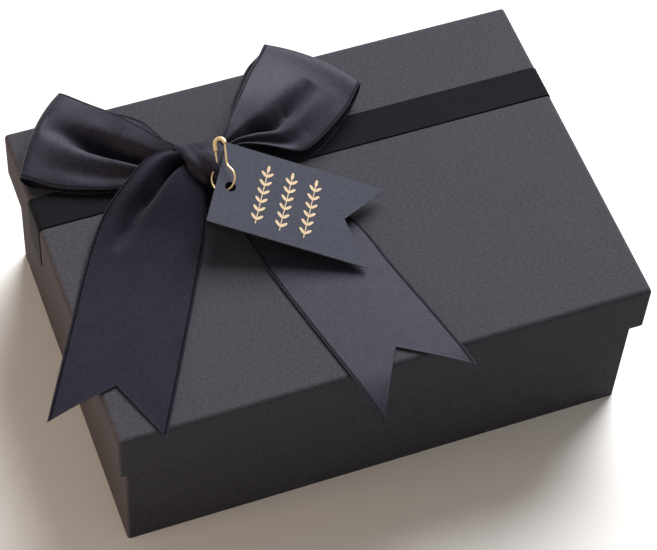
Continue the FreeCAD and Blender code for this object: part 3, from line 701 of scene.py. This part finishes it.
# ---------------------------------------------------------------- materials
NOISE_SPAN = (0.3, 0.7)  # what a noise mostly stays between
WEAVE_SPAN = (0.75, 1.25)  # the same for the sum of two
BOARD_GREY = (0.33, 0.31, 0.28)
# How far from a ribbon's middle its finish changes, in widths: in the groove the colour is
# darkened as painted shade and the roughness raised, and in the rim the woven teeth are raised in
# relief and lightened as a painted highlight.
GROOVE_SHADE_SPAN = (0.464, 0.471)
RIM = (0.481, 0.486)


def new_material(name):
    """An empty node material with its shader and output joined."""
    material = bpy.data.materials.new(name)
    material.use_nodes = True
    tree = material.node_tree
    tree.nodes.clear()
    out = tree.nodes.new("ShaderNodeOutputMaterial")
    shader = tree.nodes.new("ShaderNodeBsdfPrincipled")
    tree.links.new(shader.outputs[0], out.inputs[0])
    return material, tree, shader


def add(tree, kind, links=(), **values):
    """A node with its settings and sockets set, and (output, socket) links into it."""
    node = tree.nodes.new(kind)
    for key, value in values.items():
        if key in node.inputs:
            node.inputs[key].default_value = value
        else:
            setattr(node, key, value)
    for output, socket in links:
        tree.links.new(output, node.inputs[socket])
    return node


def coordinates(tree, kind):
    """The object's own coordinates, or the piece's own UV map."""
    return add(tree, "ShaderNodeTexCoord").outputs[kind]


def noise(tree, vector, scale, stretch=(1, 1, 1), detail=3.0):
    """Fractal noise, whose coordinates are first multiplied by the stretch."""
    mapping = add(tree, "ShaderNodeMapping", [(vector, "Vector")], Scale=stretch)
    return add(
        tree, "ShaderNodeTexNoise", [(mapping.outputs[0], "Vector")], Scale=scale, Detail=detail,
        Roughness=0.6,
    ).outputs["Fac"]


def remap(tree, value, span, to):
    """Moves one span on to another in proportion; a value outside it stays at the end."""
    node = add(tree, "ShaderNodeMapRange", [(value, "Value")])
    for socket, number in zip(node.inputs[1:5], (*span, *to)):
        socket.default_value = number
    return node.outputs[0]


def around_one(amount):
    """A span that varies from one by an amount each way."""
    return 1 - amount, 1 + amount


def calculate(tree, operation, first, second=None):
    """A calculation on one output or two."""
    links = [(first, 0)] if second is None else [(first, 0), (second, 1)]
    return add(tree, "ShaderNodeMath", links, operation=operation).outputs[0]


def paint(tree, shader, colour, factor):
    """Base colour: a colour times a varying grey."""
    node = add(tree, "ShaderNodeMix", data_type="RGBA", blend_type="MULTIPLY")
    node.inputs["Factor"].default_value = 1.0
    node.inputs[6].default_value = (*colour, 1)
    tree.links.new(factor, node.inputs[7])
    tree.links.new(node.outputs[2], shader.inputs["Base Color"])


def bump(tree, shader, height, strength, distance):
    """Relief from a height, at most the distance high."""
    node = add(
        tree, "ShaderNodeBump", [(height, "Height")], Strength=strength, Distance=distance
    )
    tree.links.new(node.outputs[0], shader.inputs["Normal"])


def set_even(node, values):
    """Sets sockets that hold one value everywhere."""
    for socket, value in values.items():
        node.inputs[socket].default_value = value


def paper_material(name, colour_name, grain=1.0, roughness=0.9):
    """Matt paper: cloudy tone, short fibres laid along X, and a fine tooth.

    Where a material of this name is there already, that one is used.
    """
    if name in bpy.data.materials:
        return bpy.data.materials[name]
    colour = getattr(bpy.context.scene.giftbox_colour, colour_name)
    material, tree, shader = new_material(name)
    place = coordinates(tree, "Object")
    cloud = noise(tree, place, scale=60.0)
    fibre = noise(tree, place, scale=1500.0, stretch=(0.5, 1.0, 1.0), detail=2.0)
    tooth = noise(tree, place, scale=4000.0, detail=1.0)
    tone = calculate(
        tree, "MULTIPLY", remap(tree, cloud, NOISE_SPAN, around_one(0.02)),
        remap(tree, fibre, NOISE_SPAN, around_one(0.22)),
    )
    paint(tree, shader, colour, tone)
    relief = calculate(tree, "ADD", fibre, tooth)
    bump(tree, shader, relief, strength=0.35 * grain, distance=0.00006)
    set_even(shader, {"Roughness": roughness, "Specular IOR Level": 0.05})
    return material


def satin_material(name, colour_name, shine=1.0):
    """Satin: warp threads along the ribbon, a faint cross weave and a toothed woven edge.

    The lit streak of the threads is drawn out across the ribbon; shine is 1 on the face and less
    on the dull back. Inside the edge the colour is darkened as a painted shade of a groove, and
    the roughness is raised there; the edge's teeth are raised in relief and lightened in colour as
    a painted highlight. A satin is made once and shared by name.
    """
    if name in bpy.data.materials:
        return bpy.data.materials[name]
    colour = getattr(bpy.context.scene.giftbox_colour, colour_name)
    material, tree, shader = new_material(name)
    uv = coordinates(tree, "UV")
    warp = noise(tree, uv, scale=100.0, stretch=(0.10, 1.1, 1.0), detail=2.0)
    weft = noise(tree, uv, scale=100.0, stretch=(1.0, 0.08, 1.0), detail=2.0)
    cloud = noise(tree, uv, scale=3.0)
    across = add(tree, "ShaderNodeSeparateXYZ", [(uv, "Vector")]).outputs["Y"]
    centred = add(tree, "ShaderNodeMath", [(across, 0)], operation="SUBTRACT")
    centred.inputs[1].default_value = 0.5
    away = calculate(tree, "ABSOLUTE", centred.outputs[0])
    teeth = add(tree, "ShaderNodeTexWave", [(uv, "Vector")], Scale=12.0, bands_direction="X")
    tooth = calculate(tree, "MULTIPLY", teeth.outputs["Fac"], remap(tree, away, RIM, (0.0, 1.0)))
    weave = calculate(tree, "ADD", warp, weft)
    tone = calculate(
        tree, "MULTIPLY", remap(tree, weave, WEAVE_SPAN, around_one(0.25 + 0.25 * shine)),
        remap(tree, cloud, NOISE_SPAN, around_one(0.08)),
    )
    # Painted shade: the colour is darkened to 0.22 in a groove inside the edge.
    groove_shaded = calculate(tree, "MULTIPLY", tone, remap(tree, away, GROOVE_SHADE_SPAN, (1.0, 0.22)))
    # Painted highlight: the colour of the selvedge's teeth is lightened up to eight times; the
    # same teeth also feed the real relief.
    teeth_highlighted = calculate(tree, "MULTIPLY", groove_shaded, remap(tree, tooth, (0.0, 1.0), (1.0, 8.0)))
    paint(tree, shader, colour, teeth_highlighted)
    relief = calculate(tree, "ADD", weave, tooth)
    bump(tree, shader, relief, strength=0.8, distance=0.00008)
    tangent = add(tree, "ShaderNodeTangent", direction_type="UV_MAP")
    tree.links.new(tangent.outputs[0], shader.inputs["Tangent"])
    roughness = remap(tree, away, GROOVE_SHADE_SPAN, (0.72 - 0.12 * shine, 0.97))
    tree.links.new(roughness, shader.inputs["Roughness"])
    set_even(shader, {
        "Specular IOR Level": 0.04 + 0.18 * shine,
        "Specular Tint": (0.84, 0.82, 1.0, 1),
        "Anisotropic": 0.6,
        "Anisotropic Rotation": 0.25,
        "Sheen Weight": 0.04 + 0.05 * shine,
        "Sheen Roughness": 0.4,
    })
    return material


def card_material():
    """Tag card: slate, with an even fine grain."""
    material, tree, shader = new_material("tag_card_stock")
    grain = noise(tree, coordinates(tree, "Object"), scale=1500.0, detail=2.0)
    tone = remap(tree, grain, NOISE_SPAN, around_one(0.18))
    paint(tree, shader, bpy.context.scene.giftbox_colour.card, tone)
    bump(tree, shader, grain, strength=0.3, distance=0.00004)
    set_even(shader, {"Roughness": 0.85, "Specular IOR Level": 0.06})
    return material


def metal_material(name, colour_name, roughness):
    """Gold metal with faint drawing marks."""
    colour = getattr(bpy.context.scene.giftbox_colour, colour_name)
    material, tree, shader = new_material(name)
    mark = noise(tree, coordinates(tree, "Object"), scale=900.0, detail=2.0)
    paint(tree, shader, colour, remap(tree, mark, NOISE_SPAN, (0.9, 1.05)))
    worn = remap(tree, mark, NOISE_SPAN, (roughness - 0.06, roughness + 0.06))
    tree.links.new(worn, shader.inputs["Roughness"])
    set_even(shader, {"Metallic": 0.7})
    return material


def board_material():
    """Grey board with darker flecks."""
    material, tree, shader = new_material("grey_board")
    fleck = noise(tree, coordinates(tree, "Object"), scale=700.0, detail=4.0)
    paint(tree, shader, BOARD_GREY, remap(tree, fleck, NOISE_SPAN, (0.7, 1.15)))
    bump(tree, shader, fleck, strength=0.3, distance=0.0001)
    set_even(shader, {"Roughness": 0.9})
    return material


def finish_node(name, material):
    """Gives a design node its procedural material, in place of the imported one."""
    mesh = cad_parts[name].data
    mesh.materials.clear()
    mesh.materials.append(material)


# ---------------------------------------------------------------- operators
class GIFTBOX_OT_make_stage(bpy.types.Operator):
    """Makes the floor, the lights and the camera."""

    bl_idname = "giftbox.make_stage"
    bl_label = "Stage"

    def execute(self, context):
        settings = context.scene.giftbox_stage
        make_floor(settings.floor)
        make_lights(settings)
        make_camera()
        return {"FINISHED"}


class GIFTBOX_OT_finish_box(bpy.types.Operator):
    """Gives the boards, papers and tapes their materials."""

    bl_idname = "giftbox.finish_box"
    bl_label = "Box finishes"

    def execute(self, context):
        wrap = paper_material("charcoal_paper", "paper")
        liner = paper_material("liner_paper", "liner", grain=0.6, roughness=0.75)
        board = board_material()
        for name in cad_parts:
            if name in ("base_side_wrap", "base_bottom_sheet", "lid_wrap"):
                finish_node(name, wrap)
            elif name.endswith("liner"):
                finish_node(name, liner)
            elif name.endswith(("board", "stays", "tapes")):
                finish_node(name, board)
        return {"FINISHED"}


class GIFTBOX_OT_make_band(bpy.types.Operator):
    """Makes the narrow satin band round the lid."""

    bl_idname = "giftbox.make_band"
    bl_label = "Narrow band"

    def execute(self, context):
        make_band()
        return {"FINISHED"}


class GIFTBOX_OT_make_loops(bpy.types.Operator):
    """Makes the bow's two loops, on their headings."""

    bl_idname = "giftbox.make_loops"
    bl_label = "Bow loops"

    def execute(self, context):
        make_loops()
        return {"FINISHED"}


class GIFTBOX_OT_make_tails(bpy.types.Operator):
    """Makes the bow's two tails."""

    bl_idname = "giftbox.make_tails"
    bl_label = "Bow tails"

    def execute(self, context):
        make_tails()
        return {"FINISHED"}


class GIFTBOX_OT_make_knot(bpy.types.Operator):
    """Makes the bow's knot."""

    bl_idname = "giftbox.make_knot"
    bl_label = "Bow knot"

    def execute(self, context):
        make_knot()
        return {"FINISHED"}


class GIFTBOX_OT_finish_tag(bpy.types.Operator):
    """Gives the tag, its foil and the pin their materials."""

    bl_idname = "giftbox.finish_tag"
    bl_label = "Tag and pin"

    def execute(self, context):
        finish_node("tag_card", card_material())
        foil = metal_material("warm_foil", "foil", roughness=0.62)
        gold = metal_material("pale_gold", "gold", roughness=0.24)
        finish_node("tag_foil_print", foil)
        for name in ("pin_arm", "pin_needle", "pin_head_cap"):
            finish_node(name, gold)
        return {"FINISHED"}


# ---------------------------------------------------------------- stage
FLOOR_HALF = 3.0
WHITE = (1.0, 1.0, 1.0)
KEY_PLACE = (0.80, 0.92, 1.20)
KEY_SIZE = 1.25
WARM_COLOUR = (1.0, 0.68, 0.42)
WARM_PLACE = (-0.85, -0.12, 0.16)
WARM_TARGET = (-0.1, -0.03, 0.04)
WARM_SIZE = 0.4
SENSOR_WIDTH = 36.0  # millimetres, as the lens
CAMERA_LENS = 133.4
CAMERA_PLACE = (-0.209185, -0.476657, 0.788550)
CAMERA_BACK = (-0.23170, -0.51801, 0.82339)  # direction from what it looks at to the camera
CAMERA_UP = (0.26016, 0.78260, 0.56556)


def area_light(name, place, target, size, power, colour, shiny=True):
    """A round soft light; one that is not shiny is not seen in glossy surfaces."""
    light = bpy.data.lights.new(name, "AREA")
    light.shape = "DISK"
    light.size = size
    light.energy = power
    light.color = colour
    lamp = bpy.data.objects.new(name, light)
    lamp.location = place
    lamp.rotation_mode = "QUATERNION"
    lamp.rotation_quaternion = (Vector(target) - Vector(place)).to_track_quat("-Z", "Y")
    lamp.visible_glossy = shiny
    bpy.context.scene.collection.objects.link(lamp)


def make_floor(colour):
    """A pale plain square under the box."""
    low, high = -FLOOR_HALF, FLOOR_HALF
    corners = np.array([(low, low, 0), (high, low, 0), (high, high, 0), (low, high, 0)])
    floor = mesh_object("studio_floor", corners, [[0, 1, 2, 3]])
    material, _, shader = new_material("studio_floor")
    set_even(shader, {"Base Color": (*colour, 1), "Roughness": 0.9})
    floor.data.materials.append(material)


def make_lights(settings):
    """A soft key from the back right, a low warm light on the left, and an even sky."""
    area_light("key", KEY_PLACE, (0, 0, LID_TOP), KEY_SIZE, settings.key_power, WHITE)
    area_light(
        "warm", WARM_PLACE, WARM_TARGET, WARM_SIZE, settings.warm_power, WARM_COLOUR, shiny=False
    )
    world = bpy.data.worlds.new("studio")
    world.use_nodes = True
    set_even(
        world.node_tree.nodes["Background"], {"Color": (*WHITE, 1), "Strength": settings.sky}
    )
    bpy.context.scene.world = world
    bpy.context.scene.view_settings.view_transform = "Standard"


def make_camera():
    """A long lens, looking down on the lid from the front left."""
    camera = bpy.data.cameras.new("camera")
    camera.sensor_width = SENSOR_WIDTH
    camera.lens = CAMERA_LENS
    holder = bpy.data.objects.new("camera", camera)
    back, up = Vector(CAMERA_BACK), Vector(CAMERA_UP)
    turn = Matrix((up.cross(back), up, back)).transposed().to_4x4()
    holder.matrix_world = Matrix.Translation(CAMERA_PLACE) @ turn
    bpy.context.scene.collection.objects.link(holder)
    bpy.context.scene.camera = holder


# ---------------------------------------------------------------- panel and registration
OPERATORS = (
    GIFTBOX_OT_make_stage,
    GIFTBOX_OT_finish_box,
    GIFTBOX_OT_make_band,
    GIFTBOX_OT_make_loops,
    GIFTBOX_OT_make_tails,
    GIFTBOX_OT_make_knot,
    GIFTBOX_OT_finish_tag,
)


class GIFTBOX_PT_panel(bpy.types.Panel):
    """Lists the gift box's settings and its makers."""

    bl_idname = "GIFTBOX_PT_panel"
    bl_label = "Gift Box"
    bl_space_type = "VIEW_3D"
    bl_region_type = "UI"
    bl_category = "Gift Box"

    def draw(self, context):
        for group in (
            context.scene.giftbox_ribbon, context.scene.giftbox_colour, context.scene.giftbox_stage
        ):
            for name in group.__annotations__:
                self.layout.prop(group, name)
        for operator in OPERATORS:
            self.layout.operator(operator.bl_idname)


SETTINGS = {
    "giftbox_ribbon": GiftBoxRibbonSettings,
    "giftbox_colour": GiftBoxColourSettings,
    "giftbox_stage": GiftBoxStageSettings,
}
CLASSES = (*SETTINGS.values(), *OPERATORS, GIFTBOX_PT_panel)


def register():
    for item in CLASSES:
        bpy.utils.register_class(item)
    for name, group in SETTINGS.items():
        setattr(bpy.types.Scene, name, bpy.props.PointerProperty(type=group))


def unregister():
    for name in SETTINGS:
        delattr(bpy.types.Scene, name)
    for item in reversed(CLASSES):
        bpy.utils.unregister_class(item)


def main():
    register()
    for operator in OPERATORS:
        family, action = operator.bl_idname.split(".")
        getattr(getattr(bpy.ops, family), action)()


if __name__ == "__main__":
    main()
